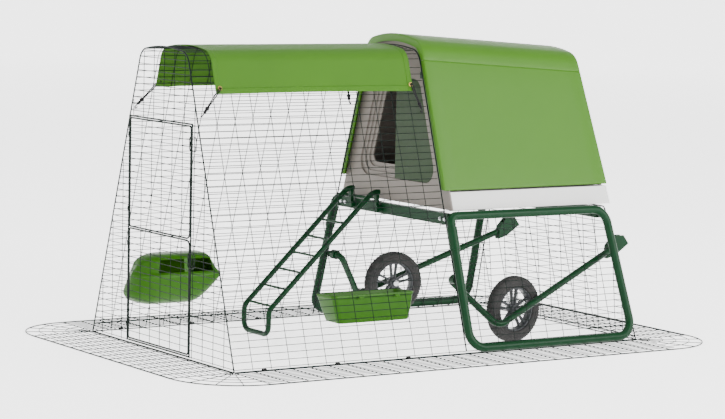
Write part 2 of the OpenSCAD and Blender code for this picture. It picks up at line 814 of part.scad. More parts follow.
// A drawer in the base, with its own front at the back of the house
module droppings_tray() {
    x0 = wall_x + 14;
    x1 = rear_at(545) - 11;
    color("dimgray") {
        difference() {
            along_x(x0, x1 + 4, [[353, 516], [342, 556], [-342, 556], [-353, 516]]);
            along_x(x0 + 3, x1, [[350, 519], [336, 570], [-336, 570], [-350, 519]]);
        }
        along_x(x1 + 4.2, x1 + 8, [[355, 516.5], [338, 574], [-338, 574], [-355, 516.5]]);
        along_x(x1 + 3.5, x1 + 5, [[340, 520], [332, 550], [-332, 550], [-340, 520]]);
        translate([x1 + 8, -60, 536]) difference() {
            translate([-0.1, 0, 0]) cube([16, 120, 18]);
            translate([-1, 8, 3]) cube([13, 104, 20]);
        }
    }
}
module roost_bars() {
    color("burlywood") {
        for (s = [-1, 1]) translate([wall_x + 60, s * 272 - 10, 577.2]) cube([430, 20, 14]);
        for (i = [0 : 7])
            translate([wall_x + 75 + i * 57, -285, 591.5]) cube([26, 570, 14]);
    }
}
module nest_divider() {
    color("darkgray")
        along_x(wall_x + 500, wall_x + 504, rounded([[-300, 577.3], [300, 577.3], [262, 690],
            [-262, 690]], 8));
}

// ---- shade cover ----

cover_x0 = door_x + 88;
cover_x1 = door_x + 930;
cover_low = 945;
module shade_cover() {
    color(leaf_green) difference() {
        along_x(cover_x0, cover_x1, run_dome(7, cover_low));
        along_x(cover_x0 - 10, cover_x1 + 10, run_dome(4, cover_low - 20));
    }
}
eyelets = [[cover_x0 + 18, 965], [cover_x1 - 8, 968]];
// A ring on the near side of the cover at distance x along the run and height z
module eyelet(x, z) {
    translate([x, -half_at(z), z]) rotate([90 - lean, 0, 0])
        rotate_extrude() translate([5, 7.4]) square([4, 1.4]);
}
module cover_eyelets() {
    color("gold")
        for (e = eyelets) {
            eyelet(e.x, e.y);
            far() eyelet(e.x, e.y);
        }
}
// An elastic cord from an eyelet to a hook on the mesh, with a toggle part way
module bungee(a, b) {
    wire(a, b, 4);
    wire(a + (b - a) * 0.62, a + (b - a) * 0.74, 13);
    wire(a + (b - a) * 0.8, b + (b - a) * 0.02, 9);
}
function off_mesh(x, z, g) = [x, -half_at(z) - g * cos(lean), z + g * sin(lean)];
module bungees() {
    color("black") {
        for (s = [0, 1]) mirror([0, s, 0]) {
            bungee(off_mesh(eyelets[0].x, eyelets[0].y, 18), off_mesh(door_x + 14, 866, 12));
            bungee(off_mesh(eyelets[1].x, eyelets[1].y, 18), off_mesh(door_x + 957, 866, 12));
        }
    }
}

// ---- ladder ----

foot_x = door_x + 505;
module ladder() {
    r = ladder_d / 2;
    y = [ladder_y - ladder_w / 2, ladder_y + ladder_w / 2];
    top = 540;
    knee = 108;
    slope_x = foot_x + (top - knee) / tan(43.5);
    color(green) difference() {
        union() {
            bent_tube([for (k = [0, 1]) each [
                for (p = k == 0 ? [[hinge_x + 8, top], [slope_x, top], [foot_x, knee], [foot_x, 7 + r]]
                    : [[foot_x, 7 + r], [foot_x, knee], [slope_x, top], [hinge_x + 8, top]])
                    [p.x, y[k], p.y]]],
                [0, 55, 45, 35, 35, 45, 55, 0], ladder_d);
            for (k = [0, 1])
                translate([hinge_x - 10, y[k] - 9, hinge_z - 16]) cube([13, 18, top - hinge_z + 14]);
            for (i = [0 : 5]) {
                z = 124 + i * 60;
                x = foot_x + (z - knee) / tan(43.5);
                wire([x, y[0], z], [x, y[1], z], 9);
            }
            for (k = [0, 1]) translate([hinge_x, y[k] - 9, hinge_z]) rotate([-90, 0, 0])
                cylinder(h = 18, d = 18);
        }
        for (k = [0, 1]) translate([hinge_x, y[k] - 20, hinge_z]) rotate([-90, 0, 0])
            cylinder(h = 40, r = 4.06);
    }
}
// Two ears and a pin on the front beam for each rail of the ladder
module ladder_brackets() {
    color(green)
        for (y = [ladder_y - ladder_w / 2, ladder_y + ladder_w / 2]) {
            for (s = [-1, 1])
                translate([hinge_x - 10, y + s * 12 - 2, hinge_z - 10]) cube([21.8, 4, 20]);
            translate([hinge_x, y - 14, hinge_z]) rotate([-90, 0, 0]) cylinder(h = 28, d = 8);
        }
}

// ---- feeder and drinker ----

// Outline of the feeder's section: distance into the run, and distance up the slope
function feeder_section(g) = [[8 + g, 112 + g], [95 - g, 112 + g], [138 - g, 225],
    [134 - g, 262], [104 - g, 322 - g], [8 + g, 326 - g]];
// A hooded trough that hangs inside the far side, with two feeding windows
module feeder() {
    x0 = door_x + 94;
    color(leaf_green) far() near_side() {
        difference() {
            translate([x0, 0, 0]) rotate([90, 0, 90])
                linear_extrude(356) polygon(feeder_section(0));
            translate([x0 + 3, 0, 0]) rotate([90, 0, 90])
                linear_extrude(350) polygon(feeder_section(3));
            for (x = [60, 190])
                translate([x0 + x, 60, 242]) cube([112, 100, 58]);
        }
        for (x = [80, 250]) clip_hook(x0 + x, 311.3, 9.5);
    }
}
// A small hook over a mesh row at distance v up the slope
module clip_hook(x, v, reach) {
    translate([x, -3.2, v + wire_d / 2 + gap]) cube([20, reach + 3.2, 2]);
    translate([x, -4.6, v - 5]) cube([20, 1.6, 8.4]);
}
// An open trough that hangs inside the near side
module drinker() {
    x0 = door_x + 455;
    color(leaf_green) near_side() {
        difference() {
            translate([x0, 0, 0]) rotate([90, 0, 90]) linear_extrude(355)
                polygon([[8, 248], [43, 151], [144, 184], [133, 284]]);
            translate([x0 + 3, 0, 0]) rotate([90, 0, 90]) linear_extrude(349)
                polygon([[6.5, 261.1], [44.8, 154.8], [140.8, 186.1], [128.8, 295.4]]);
        }
        for (x = [100, 255]) clip_hook(x0 + x, 236.3, 13);
    }
}

side_mesh_near();
side_mesh_far();
roof_mesh();
run_hoops();
door_end_mesh();
house_end_mesh();
skirt_sides();
skirt_ends();
skirt_corners();
mesh_clips();
door_jamb();
upper_door_frame();
upper_door_mesh();
upper_door_latch();
lower_door_frame();
lower_door_mesh();
lower_door_latch();
frame_loop_near();
frame_loop_far();
front_beam();
rear_beam();
beam_bolts();
leg_sleeves();
lever_bushes();
lever_near();
lever_far();
lever_handle_near();
lever_handle_far();
axle_near();
axle_far();
rim_near();
rim_far();
tyre_near();
tyre_far();
house_base();
front_wall();
doorway_surround();
fixed_door_panel();
pop_door();
pop_door_rails();
pop_door_rod();
lid_roof();
lid_side_near();
lid_side_far();
lid_catches();
inner_shell();
rear_wall();
rear_door();
rear_door_hinge();
rear_door_handle();
droppings_tray();
roost_bars();
nest_divider();
shade_cover();
cover_eyelets();
bungees();
ladder();
ladder_brackets();
feeder();
drinker();
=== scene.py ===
"""Looks of the movable chicken coop: shell, cover, wheels, troughs and finishes over its CAD frame."""

import json
import math

import bmesh
import bpy
from mathutils import Matrix, Vector, noise


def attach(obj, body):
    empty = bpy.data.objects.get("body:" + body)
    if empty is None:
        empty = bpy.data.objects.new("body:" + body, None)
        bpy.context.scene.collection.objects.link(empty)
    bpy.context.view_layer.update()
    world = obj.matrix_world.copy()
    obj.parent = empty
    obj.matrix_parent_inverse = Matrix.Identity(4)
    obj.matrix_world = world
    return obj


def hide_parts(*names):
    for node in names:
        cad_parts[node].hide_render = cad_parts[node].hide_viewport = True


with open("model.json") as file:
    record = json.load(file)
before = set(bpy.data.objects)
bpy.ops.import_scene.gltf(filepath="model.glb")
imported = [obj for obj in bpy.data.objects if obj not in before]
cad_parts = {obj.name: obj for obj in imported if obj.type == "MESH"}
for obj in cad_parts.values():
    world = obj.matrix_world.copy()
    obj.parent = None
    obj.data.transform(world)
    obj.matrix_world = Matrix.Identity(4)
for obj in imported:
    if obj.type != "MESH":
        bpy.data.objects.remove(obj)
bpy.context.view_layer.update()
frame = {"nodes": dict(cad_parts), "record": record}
nodes = frame["nodes"]

# ---- the coop's own measures, in metres ----

DOOR_X = -0.8885
HALF_W = 0.5305
SIDE_LEAN = 0.3304
LEAN = math.atan(SIDE_LEAN)
CORNER_Z = 1.035
CORNER_R = 0.060
CROWN_R = 0.800
HOUSE_X0 = DOOR_X + 0.992
HOUSE_X1 = HOUSE_X0 + 0.770
LID_Z = 0.586
LID_GROW = 0.019
LID_CORNER_Z = CORNER_Z + 0.032
LID_CORNER_R = 0.065
LID_CROWN_R = 0.600
REAR_LEAN = 0.092
ROOF_FALL = math.radians(4)
SEAM_Z = 1.058
WHEEL_C = Vector((DOOR_X + 1.282, -0.406, 0.134))
WHEEL_TOE = math.radians(6)
COVER_X0 = DOOR_X + 0.088
COVER_X1 = DOOR_X + 0.930
COVER_LOW = 0.945
SIDES = {-1: "near", 1: "far"}


# ---- mesh tools ----


def mesh_piece(name, points, faces):
    """A new smooth mesh object from points and faces."""
    mesh = bpy.data.meshes.new(name)
    mesh.from_pydata([tuple(p) for p in points], [], faces)
    mesh.validate()
    mesh.shade_smooth()
    piece = bpy.data.objects.new(name, mesh)
    bpy.context.scene.collection.objects.link(piece)
    return piece


def outward(piece):
    """Turn every face of a closed piece outwards."""
    shape = bmesh.new()
    shape.from_mesh(piece.data)
    bmesh.ops.recalc_face_normals(shape, faces=shape.faces)
    shape.to_mesh(piece.data)
    shape.free()
    return piece


def grid_faces(rows, columns, closed_rows=False, closed_columns=False, skip=None):
    """Faces of a grid of points stored row by row."""
    faces = []
    for i in range(rows if closed_rows else rows - 1):
        for j in range(columns if closed_columns else columns - 1):
            if skip and skip(i, j):
                continue
            i2, j2 = (i + 1) % rows, (j + 1) % columns
            faces.append((i * columns + j, i2 * columns + j, i2 * columns + j2, i * columns + j2))
    return faces


def apply_all(piece):
    """Replace a piece's mesh by the one its modifiers give."""
    graph = bpy.context.evaluated_depsgraph_get()
    shaped = bpy.data.meshes.new_from_object(piece.evaluated_get(graph))
    piece.modifiers.clear()
    piece.data = shaped
    return piece


def thicken(piece, depth, rim_round):
    """Give a skin its wall, inwards, with rounded rims."""
    wall = piece.modifiers.new("wall", "SOLIDIFY")
    wall.thickness = depth
    wall.offset = -1
    wall.use_even_offset = True
    edge = piece.modifiers.new("edge", "BEVEL")
    edge.width = rim_round
    edge.segments = 3
    edge.limit_method = "ANGLE"
    edge.angle_limit = math.radians(40)
    return apply_all(piece)


def lathe(name, profile, turns, place):
    """A closed profile of (radius, height) points turned about Z, then put in place."""
    points = []
    for k in range(turns):
        a = 2 * math.pi * k / turns
        points += [Vector((r * math.cos(a), r * math.sin(a), h)) for r, h in profile]
    piece = mesh_piece(name, points, grid_faces(turns, len(profile), True, True))
    piece.data.transform(place)
    return outward(piece)


def tube_points(path, radius, sides=10):
    """Rings of points along a path, kept from twisting, with the faces between them."""
    path = [Vector(p) for p in path]
    count = len(path)
    points = []
    side = None
    for i, p in enumerate(path):
        before = path[i - 1] if i else p
        after = path[i + 1] if i < count - 1 else p
        along = (after - before).normalized()
        if side is None:
            side = along.orthogonal().normalized()
        side = (side - along * side.dot(along)).normalized()
        other = along.cross(side)
        r = radius[i] if isinstance(radius, list) else radius
        for k in range(sides):
            a = 2 * math.pi * k / sides
            points.append(p + side * r * math.cos(a) + other * r * math.sin(a))
    faces = grid_faces(count, sides, False, True)
    return points, faces + end_caps(count, sides)


def end_caps(rows, columns):
    """The two faces that close a run of rings."""
    return [tuple(range(columns)), tuple(range((rows - 1) * columns, rows * columns))]


def tube(name, path, radius, sides):
    """A round tube along a path."""
    return outward(mesh_piece(name, *tube_points(path, radius, sides)))


def joined(name, parts):
    """One mesh object from several, which are used up."""
    shape = bmesh.new()
    for part in parts:
        shape.from_mesh(part.data)
        bpy.data.objects.remove(part)
    mesh = bpy.data.meshes.new(name)
    shape.to_mesh(mesh)
    shape.free()
    piece = bpy.data.objects.new(name, mesh)
    bpy.context.scene.collection.objects.link(piece)
    return piece


def smooth_path(knots, steps=8):
    """A curve through the knots, with steps points between neighbours."""
    knots = [Vector(k) for k in knots]
    path = []
    for i in range(len(knots) - 1):
        a = knots[max(i - 1, 0)]
        b, c = knots[i], knots[i + 1]
        d = knots[min(i + 2, len(knots) - 1)]
        for k in range(steps):
            t = k / steps
            path.append(
                0.5 * (2 * b + (c - a) * t + (2 * a - 5 * b + 4 * c - d) * t * t
                       + (3 * b - 3 * c + d - a) * t ** 3)
            )
    return path + [knots[-1]]


# ---- materials ----

SPARK_GRAIN = 2200
WEAVE_PITCH = 0.0011


def linear(red, green, blue):
    """A display colour, 0 to 255, as the linear colour that shaders take."""
    return tuple(
        c / 255 / 12.92 if c / 255 <= 0.04045 else ((c / 255 + 0.055) / 1.055) ** 2.4
        for c in (red, green, blue)
    ) + (1.0,)


class Field:
    """A value that varies over a surface, open to plain arithmetic."""

    def __init__(self, paint, socket):
        self.paint, self.socket = paint, socket

    def _math(self, operation, *values):
        return self.paint.node("ShaderNodeMath", {"operation": operation}, dict(enumerate(values)))

    def __add__(self, other):
        return self._math("ADD", self, other)

    def __mul__(self, other):
        return self._math("MULTIPLY", self, other)

    def __gt__(self, other):
        return self._math("GREATER_THAN", self, other)

    __radd__ = __add__
    __rmul__ = __mul__


class Paint:
    """One procedural material with a single glossy shader at its end."""

    def __init__(self, name, colour, roughness, **uniform):
        self.material = bpy.data.materials.new(name)
        self.material.use_nodes = True
        self.tree = self.material.node_tree
        self.shader = self.tree.nodes["Principled BSDF"]
        self.material.diffuse_color = colour
        self.feed("Base Color", colour)
        self.feed("Roughness", roughness)
        for socket, value in uniform.items():
            self.feed(socket.replace("_", " "), value)

    def node(self, kind, settings, values, output=0):
        """A node with its settings made and its sockets given values or links."""
        made = self.tree.nodes.new(kind)
        for key, value in settings.items():
            setattr(made, key, value)
        for key, value in values.items():
            if isinstance(value, Field):
                self.tree.links.new(value.socket, made.inputs[key])
            else:
                made.inputs[key].default_value = value
        return Field(self, made.outputs[output])

    def feed(self, socket, value):
        """Set or link one socket of the shader."""
        if isinstance(value, Field):
            self.tree.links.new(value.socket, self.shader.inputs[socket])
        else:
            self.shader.inputs[socket].default_value = value

    def place(self):
        """Where a point lies on the piece, in metres."""
        return self.node("ShaderNodeTexCoord", {}, {}, "Object")

    def cloud(self, scale, detail=3.0, stretch=None):
        """Soft random variation from 0 to 1."""
        where = self.place()
        if stretch:
            where = self.node("ShaderNodeMapping", {}, {"Vector": where, "Scale": stretch})
        return self.node("ShaderNodeTexNoise", {}, {"Vector": where, "Scale": scale, "Detail": detail})

    def part(self, axis):
        """One coordinate of the place."""
        return self.node("ShaderNodeSeparateXYZ", {}, {0: self.place()}, axis)

    def blend(self, share, first, second):
        """Two colours mixed by a share."""
        return self.node("ShaderNodeMix", {"data_type": "RGBA"}, {0: share, 6: first, 7: second}, 2)

    def relief(self, height, distance, strength=1.0, rounding=0.0):
        """A fine relief, with the sharp edges softened to a radius."""
        under = {}
        if rounding:
            under["Normal"] = self.node("ShaderNodeBevel", {"samples": 4}, {"Radius": rounding})
        self.feed("Normal", self.node(
            "ShaderNodeBump", {},
            {"Height": height, "Distance": distance, "Strength": strength, **under},
        ))


def shade(colour, factor):
    """A colour made lighter or darker."""
    return tuple(min(1.0, c * factor) for c in colour[:3]) + (1.0,)


def moulded(name, colour, roughness, rounding=0.0015, spread=0.12, **uniform):
    """Moulded plastic: a fine spark-eroded grain, slow colour drift, softened edges."""
    paint = Paint(name, colour, roughness, **uniform)
    drift = paint.cloud(5, 4)
    wear = paint.cloud(38, 5)
    paint.feed("Base Color", paint.blend(drift, shade(colour, 1 - spread), shade(colour, 1 + spread)))
    paint.feed("Roughness", roughness - 0.07 + wear * 0.14)
    paint.relief(paint.cloud(SPARK_GRAIN, 2), 0.00012, 0.55, rounding)
    return paint.material


def powder_coat(name, colour):
    """Powder coat on tube: orange peel, a satin gloss and faint scuffs."""
    paint = Paint(name, colour, 0.36, Specular_IOR_Level=0.12)
    scuff = paint.cloud(55, 6) > 0.66
    drift = paint.cloud(7)
    paint.feed("Base Color", paint.blend(
        drift * 0.5 + scuff * 0.12, shade(colour, 0.85), shade(colour, 1.35)))
    paint.feed("Roughness", 0.30 + drift * 0.12 + scuff * 0.14)
    paint.relief(paint.cloud(420, 2), 0.0003, 0.35)
    return paint.material


def coated_wire(name, colour):
    """Plastic-coated welded wire, a little uneven along its length."""
    paint = Paint(name, colour, 0.5, Specular_IOR_Level=0.1)
    drift = paint.cloud(9, 3)
    paint.feed("Base Color", paint.blend(drift, shade(colour, 0.7), shade(colour, 1.4)))
    paint.feed("Roughness", 0.38 + paint.cloud(160, 2) * 0.18)
    paint.relief(paint.cloud(900, 2), 0.0002, 0.4)
    return paint.material


def zinc(name):
    """Bright zinc plating."""
    paint = Paint(name, (0.55, 0.56, 0.58, 1), 0.3, Metallic=1.0)
    bloom = paint.cloud(90, 5)
    paint.feed("Base Color", paint.blend(bloom, (0.42, 0.43, 0.45, 1), (0.66, 0.67, 0.68, 1)))
    paint.feed("Roughness", 0.22 + bloom * 0.22)
    paint.relief(paint.cloud(700, 3), 0.0001, 0.4, 0.0004)
    return paint.material


def tyre_rubber(name):
    """Solid rubber with a dusty bloom."""
    paint = Paint(name, (0.018, 0.018, 0.019, 1), 0.62, Specular_IOR_Level=0.12)
    dust = paint.cloud(30, 6)
    paint.feed("Base Color", paint.blend(dust, (0.012, 0.012, 0.013, 1), (0.034, 0.033, 0.031, 1)))
    paint.feed("Roughness", 0.52 + dust * 0.22)
    paint.relief(paint.cloud(1300, 3), 0.0002, 0.5)
    return paint.material


def woven(name, colour):
    """Tightly woven coated sheet: warp and weft ribs, a soft sheen, slow fading."""
    paint = Paint(name, colour, 0.55, Specular_IOR_Level=0.15)
    turn = 2 * math.pi / WEAVE_PITCH
    slope = paint.node("ShaderNodeAttribute", {"attribute_name": "across"}, {}, "Fac")
    warp = paint.node("ShaderNodeMath", {"operation": "SINE"}, {0: paint.part(0) * turn})
    weft = paint.node("ShaderNodeMath", {"operation": "SINE"}, {0: slope * turn})
    weave = warp * weft
    fade = paint.cloud(4, 5)
    paint.feed("Base Color", paint.blend(
        fade * 0.8 + weave * 0.1, shade(colour, 0.86), shade(colour, 1.12)))
    paint.feed("Roughness", 0.5 + weave * 0.08 + fade * 0.06)
    paint.relief(weave, 0.00025, 0.5)
    return paint.material


def planed_wood(name):
    """Plain softwood with its grain along the bars."""
    paint = Paint(name, linear(196, 160, 112), 0.55)
    ring = paint.node(
        "ShaderNodeTexWave", {"wave_type": "RINGS", "rings_direction": "Y"},
        {"Vector": paint.place(), "Scale": 22.0, "Distortion": 6.0, "Detail": 3.0}, 1)
    fibre = paint.cloud(60, 4, (14, 1, 14))
    paint.feed("Base Color", paint.blend(
        ring * 0.6 + fibre * 0.4, linear(150, 108, 66), linear(214, 180, 132)))
    paint.feed("Roughness", 0.5 + fibre * 0.2)
    paint.relief(fibre, 0.0004, 0.5, 0.0012)
    return paint.material


LEAF = linear(50, 92, 8)
finishes = {
    "wire": coated_wire("green coated wire", linear(0, 12, 7)),
    "frame": powder_coat("green powder coat", linear(0, 40, 16)),
    "clip": moulded("black clip", linear(10, 10, 12),
                    0.5, rounding=0.0004, Specular_IOR_Level=0.15),
    "steel": zinc("zinc plate"),
    "rim": moulded("rim grey", linear(48, 50, 52), 0.42, Specular_IOR_Level=0.25),
    "tyre": tyre_rubber("tyre rubber"),
    "base": moulded("white base", linear(196, 196, 194),
                    0.4, spread=0.02, Specular_IOR_Level=0.2),
    "wall": moulded("warm grey wall", linear(104, 98, 92),
                    0.5, spread=0.03, Specular_IOR_Level=0.2),
    "lid": moulded("leaf green shell", LEAF, 0.46, spread=0.04, Specular_IOR_Level=0.2),
    # The door's own green, set darker still as painted shade from the cover that shades it.
    "door": moulded("door green with painted shade", linear(16, 40, 0),
                    0.48, spread=0.05, Specular_IOR_Level=0.2),
    "catch": moulded("catch green", linear(2, 34, 14), 0.35, Specular_IOR_Level=0.3),
    "handle": moulded("handle black", linear(26, 26, 28), 0.4),
    "tray": moulded("tray grey", linear(96, 98, 100), 0.5),
    "roost": planed_wood("roost wood"),
    "cover": woven("cover weave", LEAF),
    "brass": Paint("eyelet brass", linear(190, 158, 92), 0.3, Metallic=1.0).material,
    "feeder": moulded("trough green", linear(34, 76, 0),
                      0.34, spread=0.06, Specular_IOR_Level=0.12),
}


def finish_nodes():
    """Give every CAD node the finish of its slot."""
    for entry in frame["record"]["subparts"]:
        mesh = nodes[entry["node"]].data
        mesh.materials.clear()
        mesh.materials.append(finishes[entry["material_slot"]])


def fit_out(piece, body, slot, *replaced):
    """Finish a piece, mount it on its body and hide the CAD nodes that it stands for."""
    if not piece.data.materials:
        piece.data.materials.append(finishes[slot])
    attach(piece, body)
    if replaced:
        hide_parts(*replaced)
    return piece


# ---- lid ----


def lid_section(grow):
    """The lid's arch in its front plane, near seam to far seam, as (y, z) points."""
    cy = HALF_W + LID_GROW - SIDE_LEAN * LID_CORNER_Z - LID_CORNER_R / math.cos(LEAN)
    crown_a = math.asin(cy / (LID_CROWN_R - LID_CORNER_R))
    top = LID_CORNER_Z - (LID_CROWN_R - LID_CORNER_R) * math.cos(crown_a)
    seam_y = -(HALF_W + LID_GROW - SIDE_LEAN * SEAM_Z + grow / math.cos(LEAN))
    points = [(seam_y, SEAM_Z)]
    start = LID_CORNER_Z + (LID_CORNER_R + grow) * math.sin(LEAN)
    y = -(cy + (LID_CORNER_R + grow) * math.cos(LEAN))
    points.append(((y + seam_y) / 2, (start + SEAM_Z) / 2))
    for k in range(15):
        a = LEAN + (math.pi / 2 - crown_a - LEAN) * k / 14
        points.append((-cy - (LID_CORNER_R + grow) * math.cos(a),
                       LID_CORNER_Z + (LID_CORNER_R + grow) * math.sin(a)))
    for k in range(1, 12):
        a = math.pi / 2 + crown_a - 2 * crown_a * k / 12
        points.append(((LID_CROWN_R + grow) * math.cos(a), top + (LID_CROWN_R + grow) * math.sin(a)))
    return points + [(-y, z) for y, z in reversed(points[:17])]


def roof_drop(z, x):
    """Height at x of a point whose height in the front plane is z."""
    return LID_CORNER_Z + (z - LID_CORNER_Z) / math.cos(ROOF_FALL) - (x - HOUSE_X0) * math.tan(ROOF_FALL)


def rear_x(z):
    """Where the line of front-plane height z meets the leaning back."""
    z0 = roof_drop(z, HOUSE_X0)
    fall = math.tan(ROOF_FALL)
    return (HOUSE_X1 - REAR_LEAN * (z0 + HOUSE_X0 * fall - LID_Z)) / (1 - REAR_LEAN * fall)


LID_EDGE = 0.0032
LID_RINGS = [(0.026, 0.0), (0.012, 0.0), (LID_EDGE, 0.0), (0.0011, 0.0009), (0.0, LID_EDGE)]
LID_WALL = 0.0036
LID_RIM_ROUND = 0.0006
SEAM_Y = 0.19
SEAM_STEP = 0.0009
SEAM_GAP = 0.0008


def lid_rows(steps):
    """Rows of the lid's skin as (inset, set back, share of its length), rounded over at both ends."""
    rows = [(inset, back, 0.0) for inset, back in LID_RINGS]
    rows += [(0.0, LID_EDGE, t / steps) for t in range(1, steps)]
    return rows + [(inset, back, 1.0) for inset, back in reversed(LID_RINGS)]


def along_lid(back, share, end):
    """Where a row of the lid's skin lies along the house."""
    if share == 0:
        return HOUSE_X0 + back
    if share == 1:
        return end - back
    return HOUSE_X0 + back + (end - HOUSE_X0 - 2 * back) * share


def build_lid_roof():
    """The arched roof: flanges, rounded arrises and a rolled seam along each side."""
    rows = lid_rows(16)
    points = []
    for inset, back, share in rows:
        for y, z in lid_section(-inset):
            x = along_lid(back, share, rear_x(z))
            points.append((x, y, roof_drop(z, x) + SEAM_STEP * (abs(y) > SEAM_Y)))
    count = len(lid_section(0))
    piece = mesh_piece("lid_roof_shell", points, grid_faces(len(rows), count))
    piece.data.flip_normals()
    return thicken(piece, LID_WALL, LID_RIM_ROUND)


def side_top(x, share):
    """Height at x of a share of the lid side's height."""
    return LID_Z + (roof_drop(SEAM_Z - SEAM_GAP, x) - LID_Z) * share


def build_lid_side(sign):
    """One flat side of the lid, with its flanges and rounded arrises."""
    rows = lid_rows(12)
    heights = [0.0, 0.002, 0.01, 0.2, 0.4, 0.6, 0.8, 0.99, 0.998, 1.0]
    rolls = {0.0: 0.0012, 1.0: 0.0012, 0.002: 0.0003, 0.998: 0.0003}
    points = []
    for inset, back, share in rows:
        for v in heights:
            end = HOUSE_X1
            for _ in range(3):
                end = HOUSE_X1 - REAR_LEAN * (side_top(end, v) - LID_Z)
            x = along_lid(back, share, end)
            z = side_top(x, v)
            level = z - LID_CORNER_Z + (x - HOUSE_X0) * math.tan(ROOF_FALL)
            front_z = LID_CORNER_Z + level * math.cos(ROOF_FALL)
            half = HALF_W + LID_GROW - SIDE_LEAN * front_z - inset / math.cos(LEAN)
            points.append((x, sign * (half - rolls.get(v, 0.0)), z))
    piece = mesh_piece("lid_side_%s_shell" % SIDES[sign], points,
                       grid_faces(len(rows), len(heights)))
    if sign < 0:
        piece.data.flip_normals()
    return thicken(piece, LID_WALL, LID_RIM_ROUND)


# ---- wheels ----

TYRE_TURNS = 240
TREAD_PITCH = 5
TREAD_CUT = 0.0028
SHOULDER = range(12, 17)
SPOKE_SIDES = 12
SPOKE_SQUARE = 0.6


def wheel_place(sign):
    """From wheel coordinates, Z outwards along the axle, to the coop's."""
    near = Matrix.Translation(WHEEL_C) @ Matrix.Rotation(WHEEL_TOE, 4, "Z") @ Matrix.Rotation(
        math.pi / 2, 4, "X")
    return near if sign < 0 else Matrix.Diagonal((1, -1, 1, 1)) @ near


def build_tyre(sign):
    """A solid tyre: rounded shoulders, grooved walls and a blocked tread."""
    wall = [(0.0832, 0.0190), (0.086, 0.0222), (0.091, 0.0235), (0.0945, 0.0238), (0.0955, 0.0225),
            (0.0965, 0.0225), (0.0975, 0.0239), (0.1035, 0.0238), (0.1045, 0.0223),
            (0.1055, 0.0223), (0.1065, 0.0234), (0.112, 0.0221), (0.1165, 0.0192),
            (0.1200, 0.0166), (0.1232, 0.0126)]
    tread = [(0.1243, 0.0102), (0.1246, 0.0060), (0.1248, 0.0052), (0.1225, 0.0042),
             (0.1225, 0.0026), (0.1249, 0.0016)]
    half = wall + tread
    profile = half + [(r, -h) for r, h in reversed(half)]
    points = []
    for k in range(TYRE_TURNS):
        a = 2 * math.pi * k / TYRE_TURNS
        for i, (r, h) in enumerate(profile):
            grooved = (k + (2 if h < 0 else 0)) % TREAD_PITCH == 0
            shoulder = min(i, len(profile) - 1 - i) in SHOULDER
            cut = TREAD_CUT if shoulder and grooved else 0.0
            points.append(((r - cut) * math.cos(a), (r - cut) * math.sin(a), h))
    piece = mesh_piece("tyre_rubber_%s" % SIDES[sign], points,
                       grid_faces(TYRE_TURNS, len(profile), True, True))
    piece.data.transform(wheel_place(sign))
    return outward(piece)


def spoke(angle, side):
    """Half of a double spoke: a tapering blade that flares into hub and rim."""
    stations = [(0.014, 0.0125, 0.0085), (0.022, 0.0105, 0.0080), (0.040, 0.0088, 0.0074),
                (0.060, 0.0092, 0.0070), (0.071, 0.0112, 0.0074), (0.0785, 0.0150, 0.0084)]
    points = []
    for r, wide, deep in stations:
        middle = side * (0.0058 + 0.12 * (r - 0.014))
        for k in range(SPOKE_SIDES):
            a = 2 * math.pi * k / SPOKE_SIDES
            u = math.copysign(abs(math.cos(a)) ** SPOKE_SQUARE, math.cos(a)) * wide * 0.5
            w = math.copysign(abs(math.sin(a)) ** SPOKE_SQUARE, math.sin(a)) * deep
            points.append(Matrix.Rotation(angle, 3, "Z") @ Vector((r, middle + u, w)))
    faces = grid_faces(len(stations), SPOKE_SIDES, False, True)
    faces += end_caps(len(stations), SPOKE_SIDES)
    return outward(mesh_piece("spoke", points, faces))


def build_rim(sign):
    """Rim band, hub and five double spokes in one moulding."""
    band = [(0.0830, -0.0170), (0.0830, 0.0170), (0.0818, 0.0184), (0.0790, 0.0184),
            (0.0772, 0.0168), (0.0765, 0.0120), (0.0755, 0.0060), (0.0755, -0.0060),
            (0.0765, -0.0120), (0.0772, -0.0168), (0.0790, -0.0184), (0.0818, -0.0184)]
    hub = [(0.00606, -0.0188), (0.0150, -0.0188), (0.0182, -0.0176), (0.0195, -0.0150),
           (0.0198, 0.0), (0.0195, 0.0150), (0.0182, 0.0176), (0.0150, 0.0188),
           (0.0120, 0.0186), (0.0110, 0.0170), (0.0085, 0.0170), (0.00606, 0.0188)]
    parts = [lathe("band", band, 96, Matrix()), lathe("hub", hub, 48, Matrix())]
    for k in range(5):
        for side in (-1, 1):
            parts.append(spoke(math.radians(90 + 72 * k), side))
    piece = joined("rim_moulding_%s" % SIDES[sign], parts)
    piece.data.transform(wheel_place(sign))
    if sign > 0:
        piece.data.flip_normals()
    return piece


# ---- cover ----

COVER_SKIN = 0.0052
COVER_OUT = 0.0085
CLOTH = 0.0009
HEM = 0.022
HEM_LIFT = 0.0008
HEM_CLOTH = 0.0007
STITCH_IN = 0.003
THREAD = [0.0002, 0.0004, 0.0002]


def arch_length():
    """Lengths of the cover's straight side, corner and half crown."""
    cy = HALF_W - SIDE_LEAN * CORNER_Z - CORNER_R / math.cos(LEAN)
    crown_a = math.asin(cy / (CROWN_R - CORNER_R))
    straight = (CORNER_Z + CORNER_R * math.sin(LEAN) - COVER_LOW) / math.cos(LEAN)
    corner = (CORNER_R + COVER_SKIN) * (math.pi / 2 - crown_a - LEAN)
    return straight, corner, (CROWN_R + COVER_SKIN) * crown_a


